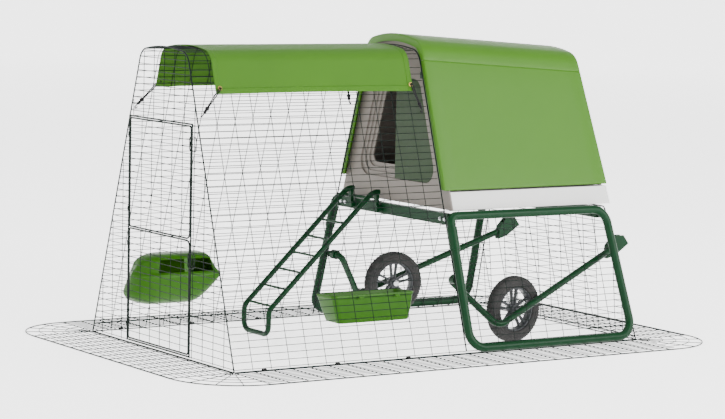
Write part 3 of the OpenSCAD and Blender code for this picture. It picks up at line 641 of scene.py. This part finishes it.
def on_arch(s, grow):
    """The point and outward normal at distance s along the cover's section, 0 at its crown."""
    cy = HALF_W - SIDE_LEAN * CORNER_Z - CORNER_R / math.cos(LEAN)
    crown_a = math.asin(cy / (CROWN_R - CORNER_R))
    crown_z = CORNER_Z - (CROWN_R - CORNER_R) * math.cos(crown_a)
    _, corner, crown = arch_length()
    sign, d = (1 if s > 0 else -1), abs(s)
    if d <= crown:
        a = d / crown * crown_a
        out = Vector((0, sign * math.sin(a), math.cos(a)))
        return Vector((0, 0, crown_z)) + out * (CROWN_R + grow), out
    if d <= crown + corner:
        a = math.pi / 2 - crown_a - (d - crown) / corner * (math.pi / 2 - crown_a - LEAN)
        out = Vector((0, sign * math.cos(a), math.sin(a)))
        return Vector((0, sign * cy, CORNER_Z)) + out * (CORNER_R + grow), out
    out = Vector((0, sign * math.cos(LEAN), math.sin(LEAN)))
    down = Vector((0, sign * math.sin(LEAN), -math.cos(LEAN)))
    return Vector((0, sign * cy, CORNER_Z)) + out * (CORNER_R + grow) + down * (d - crown - corner), out


def cover_point(x, s, lift=0.0):
    """A point of the hung cover: pulled tight at its eyelets, a little slack between them."""
    straight, corner, crown = arch_length()
    half = straight + corner + crown
    along = (x - COVER_X0) / (COVER_X1 - COVER_X0)
    low = max(0.0, (abs(s) - crown - corner * 0.6) / (half - crown - corner * 0.6))
    slack = math.sin(math.pi * along) ** 0.7 * low * low
    tug = math.exp(-((along - 0.02) / 0.09) ** 2) + math.exp(-((along - 0.98) / 0.09) ** 2)
    wave = noise.noise(Vector((x * 7, s * 3, 2.0))) * 0.5
    wave += noise.noise(Vector((x * 19, s * 8, 7.0))) * 0.25
    fold = math.sin((along * 34 + abs(s) * 25) * 1.7) * tug * low * 0.0009
    grow = COVER_SKIN + lift + slack * 0.0016 + wave * 0.0016 * (0.35 + low) + fold
    grow -= 0.0012 * tug * low
    point, out = on_arch(s, min(grow, COVER_OUT + lift))
    return Vector((x, point.y, point.z + 0.0022 * slack * slack)), out


def across_attribute(piece, values):
    """Store each point's distance across the cloth, for the weave."""
    layer = piece.data.attributes.new("across", "FLOAT", "POINT")
    layer.data.foreach_set("value", values)


def cloth_patch(name, xs, ss, lift, depth):
    """A patch of the cover over the given stations."""
    points, across = [], []
    for x in xs:
        for s in ss:
            points.append(cover_point(x, s, lift)[0])
            across.append(s)
    piece = mesh_piece(name, points, grid_faces(len(xs), len(ss)))
    across_attribute(piece, across)
    piece.data.flip_normals()
    wall = piece.modifiers.new("wall", "SOLIDIFY")
    wall.thickness = depth
    wall.offset = -1
    return apply_all(piece)


def spaced(a, b, count):
    """Evenly spaced numbers from a to b."""
    return [a + (b - a) * k / (count - 1) for k in range(count)]


def build_cover():
    """The shade cover with its turned hems and stitching, and half its width."""
    half = sum(arch_length())
    along = spaced(COVER_X0, COVER_X1, 150)
    across = spaced(-half, half, 121)
    sheet = cloth_patch("cover_sheet", along, across, 0.0, CLOTH)
    hems = []
    for sign in (-1, 1):
        strip = [sign * v for v in spaced(half, half - HEM, 6)]
        hems.append(cloth_patch("hem", along, strip, HEM_LIFT, HEM_CLOTH))
        if sign > 0:
            hems[-1].data.flip_normals()
    for a, b in ((COVER_X0, COVER_X0 + HEM), (COVER_X1 - HEM, COVER_X1)):
        hems.append(cloth_patch("hem", spaced(a, b, 6), across, HEM_LIFT, HEM_CLOTH))
    hem_piece = joined("cover_hems", hems)
    hem_piece.data.materials.append(finishes["cover"])
    inner = half - HEM + STITCH_IN
    runs = [[(x, sign * inner) for x in spaced(COVER_X0 + 0.004, COVER_X1 - 0.004, 150)]
            for sign in (-1, 1)]
    runs += [[(x, s) for s in spaced(-half + 0.004, half - 0.004, 112)]
             for x in (COVER_X0 + HEM - STITCH_IN, COVER_X1 - HEM + STITCH_IN)]
    stitches = []
    for run in runs:
        for (x0, s0), (x1, s1) in zip(run, run[1:]):
            a = cover_point(x0 + (x1 - x0) * 0.14, s0 + (s1 - s0) * 0.14, 0.0009)[0]
            b = cover_point(x0 + (x1 - x0) * 0.86, s0 + (s1 - s0) * 0.86, 0.0009)[0]
            m = cover_point((x0 + x1) / 2, (s0 + s1) / 2, 0.0012)[0]
            stitches.append(mesh_piece("stitch", *tube_points([a, m, b], THREAD, 5)))
    thread = joined("cover_stitching", stitches)
    thread.data.materials.append(moulded("thread", linear(64, 110, 16), 0.7, rounding=0.0))
    return sheet, hem_piece, thread, half


EYELETS = [(COVER_X0 + 0.018, 0.965), (COVER_X1 - 0.008, 0.968)]
EYELET_OUT = 0.0079
HOOKS_X = (DOOR_X + 0.014, DOOR_X + 0.957)
HOOK_Z = 0.866


def side_frame(x, z, sign, out):
    """A place on the run's side plane, Z outwards, moved out by a distance."""
    normal = Vector((0, sign * math.cos(LEAN), math.sin(LEAN)))
    middle = Vector((x, sign * (HALF_W - SIDE_LEAN * z), z)) + normal * out
    along = Vector((1, 0, 0))
    up = normal.cross(along)
    turn = Matrix((along, up, normal)).transposed().to_4x4()
    return Matrix.Translation(middle) @ turn


def build_eyelets():
    """Rolled brass rings pressed through the hems."""
    ring = [(0.0042, 0.0), (0.0046, 0.0011), (0.0060, 0.0014), (0.0078, 0.0010), (0.0086, 0.0002),
            (0.0086, -0.0002), (0.0060, -0.0003)]
    parts = [lathe("ring", ring, 40, side_frame(x, z, sign, EYELET_OUT))
             for x, z in EYELETS for sign in (-1, 1)]
    return joined("brass_eyelets", parts)


def ball(centre, radius):
    """A round bead, slightly flattened at its poles."""
    profile = []
    for k in range(15):
        a = math.pi * k / 14
        profile.append((max(0.0001, radius * math.sin(a)), -0.94 * radius * math.cos(a)))
    return lathe("bead", profile, 28, Matrix.Translation(centre))


def hooked_cord(start, end, normal, name):
    """An elastic cord doubled through an eyelet, with its bead and a hook over the wire."""
    start, end, normal = Vector(start), Vector(end), Vector(normal)
    line = end - start
    side = line.cross(normal).normalized()
    parts = []
    bead = start + line * 0.70
    for sign in (-1, 1):
        knots = [start - normal * 0.006 + side * sign * 0.001,
                 start + normal * 0.004 + side * sign * 0.0034,
                 start + line * 0.3 + side * sign * 0.0030 + normal * 0.002,
                 start + line * 0.62 + side * sign * 0.0016, bead]
        parts.append(tube("strand", smooth_path(knots, 7), 0.0021, 8))
    parts.append(ball(bead, 0.0078))
    shank = start + line * 0.80
    parts.append(tube("collar", smooth_path([shank - line * 0.06, shank, shank + line * 0.07], 5),
                      [0.0028] * 2 + [0.0052] * 7 + [0.0032] * 2, 14))
    along = line.normalized()
    tip = start + line * 0.93
    hook = [shank + line * 0.05, tip]
    for k in range(1, 9):
        a = math.radians(26 * k)
        hook.append(tip + along * 0.0060 * math.sin(a) - normal * 0.0060 * (1 - math.cos(a)))
    parts.append(tube("hook", hook, 0.0021, 10))
    parts.append(tube("cord_end", smooth_path([bead, bead + line * 0.12, shank], 5), 0.0022, 8))
    return joined(name, parts)


def off_mesh(x, z, sign, out):
    """A point off the run's side plane."""
    return side_frame(x, z, sign, out).translation


# ---- troughs ----


def side_point(x, inwards, slope, sign):
    """From distances along, into the run and up the slope of a side, to the coop's."""
    return Vector((x, sign * (HALF_W - slope * math.sin(LEAN) - inwards * math.cos(LEAN)),
                   slope * math.cos(LEAN) - inwards * math.sin(LEAN)))


OFF_MESH = 0.0085
STRAP_WIDE = 0.020
FEEDER_X0 = DOOR_X + 0.094
FEEDER_LONG = 0.356
FEEDER_NOSE = 0.100
FEEDER_TAIL = 0.090
FEEDER_BROW = 0.046
FEEDER_MIDDLE = 0.19
HOOD_HIGH = 0.0806
BOWL_DEEP = 0.121
FEEDER_WALL = 0.0026
FEEDER_HOOK_V = 0.3113
FEEDER_WINDOWS = [(0.078, 0.190), (0.212, 0.322)]
LIP_Z = 0.2265
FEEDER_OUTLINE = [(0.1100, 0.3069), (0.1480, 0.3065), (0.1740, 0.3040), (0.1860, 0.2975),
                  (0.1915, 0.2870), (0.1935, 0.2700), (0.1955, 0.2530), (0.1975, 0.2370),
                  (0.2015, 0.2330), (0.2040, 0.2295), (0.2040, 0.2250), (0.2015, 0.2215),
                  (0.1975, 0.2190), (0.1930, 0.1950), (0.1830, 0.1650), (0.1680, 0.1370),
                  (0.1450, 0.1150), (0.1100, 0.1065), (0.0434, 0.1055)]


def back_wall(z):
    """How far in from the side's foot the feeder's back lies at a height."""
    return (OFF_MESH + z * math.sin(LEAN)) / math.cos(LEAN)


def feeder_section(x):
    """The feeder's closed outline at distance x as (x, into the run, height), from its top."""
    nose = math.sqrt(1 - (1 - min(1.0, x / FEEDER_NOSE)) ** 2)
    tail = min(1.0, (FEEDER_LONG - x) / FEEDER_TAIL)
    brow = min(1.0, (FEEDER_LONG - x) / FEEDER_BROW)
    reach = (0.26 + 0.74 * nose) * (0.84 + 0.16 * math.sqrt(tail))
    rise = (HOOD_HIGH - 0.046 * (1 - nose) - 0.056 * (1 - brow) ** 1.4) / HOOD_HIGH
    fall = (BOWL_DEEP - 0.060 * (1 - nose) - 0.100 * (1 - tail) ** 1.4) / BOWL_DEEP
    outline = []
    for across, height in FEEDER_OUTLINE:
        z = LIP_Z + (height - LIP_Z) * (rise if height > LIP_Z else fall)
        taper = 1 - 0.12 * max(0.0, height - LIP_Z) / HOOD_HIGH
        outline.append((FEEDER_MIDDLE + (x - FEEDER_MIDDLE) * taper,
                        back_wall(z) + max(0.0, across - back_wall(height)) * reach, z))
    return outline


def build_feeder():
    """A hooded trough with a rounded nose, a lip at its joint line and two feeding windows."""
    stations = [0.0, 0.002, 0.006, 0.012, 0.020, 0.030, 0.042, 0.056, 0.070, 0.078, 0.082,
                0.100, 0.130, 0.160, 0.182, 0.190, 0.196, 0.206, 0.212, 0.218, 0.240, 0.270,
                0.300, 0.318, 0.322, 0.328, 0.335, 0.342, 0.348, 0.353, FEEDER_LONG]
    points = [Vector((FEEDER_X0 + x, HALF_W - across, z))
              for station in stations for x, across, z in feeder_section(station)]
    count = len(FEEDER_OUTLINE)

    def window(i, j):
        x = (stations[i] + stations[i + 1]) / 2
        return 4 <= j <= 6 and any(a < x < b for a, b in FEEDER_WINDOWS)

    piece = mesh_piece("feeder_body", points, grid_faces(len(stations), count, False, True, window))
    ends = bmesh.new()
    ends.from_mesh(piece.data)
    ends.verts.ensure_lookup_table()
    for row in (0, len(stations) - 1):
        ends.faces.new([ends.verts[row * count + j] for j in range(count)])
    bmesh.ops.recalc_face_normals(ends, faces=ends.faces)
    ends.to_mesh(piece.data)
    ends.free()
    wall = piece.modifiers.new("wall", "SOLIDIFY")
    wall.thickness = FEEDER_WALL
    wall.offset = -1
    edge = piece.modifiers.new("edge", "BEVEL")
    edge.width = 0.0011
    edge.segments = 2
    edge.angle_limit = math.radians(50)
    soft = piece.modifiers.new("soft", "SUBSURF")
    soft.levels = soft.render_levels = 2
    piece = apply_all(piece)
    piece.data.shade_smooth()
    straps = [strap(FEEDER_X0 + x, FEEDER_HOOK_V, 1) for x in (0.080, 0.250)]
    return joined("feeder_shell", [piece] + straps)


def strap(x, slope, sign):
    """A hook moulded on a trough's back that drops over a mesh wire."""
    line = [(0.0090, slope - 0.0060), (0.0088, slope + 0.0005), (0.0076, slope + 0.0024),
            (0.0020, slope + 0.0026), (-0.0024, slope + 0.0024), (-0.0038, slope + 0.0008),
            (-0.0040, slope - 0.0048)]
    points = []
    for k in range(5):
        for u, v in line:
            points.append(side_point(x + STRAP_WIDE * k / 4, u, v, sign))
    piece = mesh_piece("clip", points, grid_faces(5, len(line)))
    wall = piece.modifiers.new("wall", "SOLIDIFY")
    wall.thickness = 0.0014
    wall.offset = 0
    return outward(apply_all(piece))


DRINKER_X0, DRINKER_X1 = DOOR_X + 0.455, DOOR_X + 0.810
DRINKER_BACK = (0.043, 0.151), (0.0085, 0.248)
DRINKER_FRONT = (0.142, 0.184), (0.1325, 0.284)
DRINKER_HOOK_V = 0.2363
CORNER_STEPS = 7


def trough_loop(inset, level, rounding):
    """A rounded rectangle round the drinker at a share of its height, inset from its outline."""
    back = [b + (t - b) * level for b, t in zip(*DRINKER_BACK)]
    front = [b + (t - b) * level for b, t in zip(*DRINKER_FRONT)]
    x0 = DRINKER_X0 + 0.030 * (1 - level) + inset
    x1 = DRINKER_X1 - 0.019 * (1 - level) - inset
    span = front[0] - back[0]
    corners = [(x0, 0.0), (x1, 0.0), (x1, 1.0), (x0, 1.0)]
    points = []
    for i, (x, across) in enumerate(corners):
        cx = x + (rounding if x == x0 else -rounding)
        edge = (rounding + inset) / span
        ca = across + (edge if across == 0.0 else -edge)
        start = [math.pi, 1.5 * math.pi, 0.0, 0.5 * math.pi][i]
        for k in range(CORNER_STEPS):
            a = start + math.pi / 2 * k / (CORNER_STEPS - 1)
            u_share = ca + math.sin(a) * rounding / span
            u = back[0] + span * u_share
            v = back[1] + (front[1] - back[1]) * u_share
            points.append(side_point(cx + rounding * math.cos(a), u, v, -1))
    return points


def build_drinker():
    """An open trough with a rolled rim, a ribbed bottom edge and two hooks."""
    rings = [(0.012, 0.004, 0.012), (0.004, 0.0, 0.016), (0.0012, 0.012, 0.018),
             (0.0, 0.04, 0.019), (0.0, 0.5, 0.019), (0.0016, 0.84, 0.017), (0.0016, 0.86, 0.017),
             (-0.0002, 0.875, 0.019), (0.0, 0.90, 0.019), (0.0, 0.975, 0.019),
             (0.0012, 0.995, 0.018), (0.0030, 1.0, 0.016), (0.0048, 0.995, 0.014),
             (0.0056, 0.97, 0.013), (0.0056, 0.5, 0.013), (0.0060, 0.10, 0.012),
             (0.0110, 0.055, 0.008)]
    loops = [trough_loop(*ring) for ring in rings]
    count = len(loops[0])
    points = [p for loop in loops for p in loop]
    faces = grid_faces(len(loops), count, False, True)
    body = outward(mesh_piece("trough", points, faces + end_caps(len(loops), count)))
    straps = [strap(DRINKER_X0 + x, DRINKER_HOOK_V, -1) for x in (0.100, 0.255)]
    return joined("drinker_shell", [body] + straps)


# ---- setting ----

FLOOR_TURNS = 96
FLOOR_BELOW = 0.0004
CAMERA_PLACE = (-5.46317, -8.29947, 1.51833)
CAMERA_RIGHT = (0.83748, -0.54605, 0.02130)
CAMERA_BACK = (-0.54508, -0.83196, 0.10360)


def build_dish():
    """A pale floor that rises in a soft curve far all round."""
    profile = [(0.0, 0.0), (1.2, 0.0), (3.0, 0.0), (8.0, 0.0), (16.0, 0.0), (22.0, 0.0)]
    profile += [(22.0 + 5.0 * math.sin(a), 5.0 - 5.0 * math.cos(a))
                for a in [math.pi / 2 * k / 10 for k in range(1, 11)]]
    profile.append((27.0, 9.0))
    points = []
    for k in range(FLOOR_TURNS):
        a = 2 * math.pi * k / FLOOR_TURNS
        points += [Vector((r * math.cos(a), r * math.sin(a), h - FLOOR_BELOW)) for r, h in profile]
    dish = mesh_piece("studio_floor", points, grid_faces(FLOOR_TURNS, len(profile), True, False))
    paper = Paint("floor paper", (0.86, 0.86, 0.86, 1), 0.9, Specular_IOR_Level=0.1)
    paper.feed("Base Color", paper.blend(
        paper.cloud(0.8, 2), (0.85, 0.85, 0.85, 1), (0.88, 0.88, 0.88, 1)))
    paper.feed("Emission Color", (1.0, 1.0, 1.0, 1.0))
    paper.feed("Emission Strength", 2.0)
    dish.data.materials.append(paper.material)


def soft_light(name, place, aim, wide, high, watts):
    """A large soft box that faces a point."""
    light = bpy.data.lights.new(name, "AREA")
    light.shape = "RECTANGLE"
    light.size, light.size_y = wide, high
    light.energy = watts
    lamp = bpy.data.objects.new(name, light)
    bpy.context.scene.collection.objects.link(lamp)
    lamp.location = place
    lamp.rotation_euler = (Vector(aim) - Vector(place)).to_track_quat("-Z", "Y").to_euler()


def build_studio():
    """Soft boxes, a bright sky and the camera."""
    soft_light("key_box", (3.2, -7.0, 3.0), (0, 0, 0.6), wide=5.0, high=4.0, watts=700)
    soft_light("top_box", (-0.6, 0.4, 6.5), (0, 0, 0), wide=6.0, high=6.0, watts=260)
    soft_light("door_box", (-7.0, -1.0, 3.0), (0, 0, 0.5), wide=3.5, high=3.0, watts=70)
    world = bpy.data.worlds.new("sky")
    bpy.context.scene.world = world
    world.use_nodes = True
    sky = world.node_tree.nodes["Background"]
    sky.inputs["Color"].default_value = (1, 1, 1, 1)
    sky.inputs["Strength"].default_value = 1.1
    lens = bpy.data.cameras.new("camera")
    lens.sensor_width = 36.0
    lens.lens = 130.94
    lens.clip_end = 200.0
    camera = bpy.data.objects.new("camera", lens)
    bpy.context.scene.collection.objects.link(camera)
    right = Vector(CAMERA_RIGHT).normalized()
    back = Vector(CAMERA_BACK).normalized()
    up = back.cross(right).normalized()
    right = up.cross(back)
    turn = Matrix((right, up, back)).transposed().to_4x4()
    camera.matrix_world = Matrix.Translation(CAMERA_PLACE) @ turn
    bpy.context.scene.camera = camera


# ---- the coop ----

finish_nodes()
build_studio()
build_dish()

fit_out(build_lid_roof(), "coop", "lid", "lid_roof")
fit_out(build_lid_side(-1), "coop", "lid", "lid_side_near")
fit_out(build_lid_side(1), "coop", "lid", "lid_side_far")

for sign, side in SIDES.items():
    fit_out(build_tyre(sign), side + "_wheel", "tyre", "tyre_" + side)
    fit_out(build_rim(sign), side + "_wheel", "rim", "rim_" + side)

cover, hems, thread, cover_half = build_cover()
fit_out(cover, "coop", "cover", "shade_cover")
fit_out(hems, "coop", "cover")
fit_out(thread, "coop", "cover")
eyelets = fit_out(build_eyelets(), "coop", "brass", "cover_eyelets")
round(2 * cover_half, 4)

cords = []
for sign, side in SIDES.items():
    normal = (0, sign * math.cos(LEAN), math.sin(LEAN))
    for (x, z), hook_x, end in zip(EYELETS, HOOKS_X, ("door", "house")):
        cords.append(hooked_cord(off_mesh(x, z, sign, COVER_OUT), off_mesh(hook_x, HOOK_Z, sign, 0.008),
                                 normal, "bungee_%s_%s" % (side, end)))
fit_out(joined("bungee_cords", cords), "coop", "clip", "bungees")

fit_out(build_feeder(), "hanging_feeder", "feeder", "feeder")
fit_out(build_drinker(), "hanging_drinker", "feeder", "drinker")
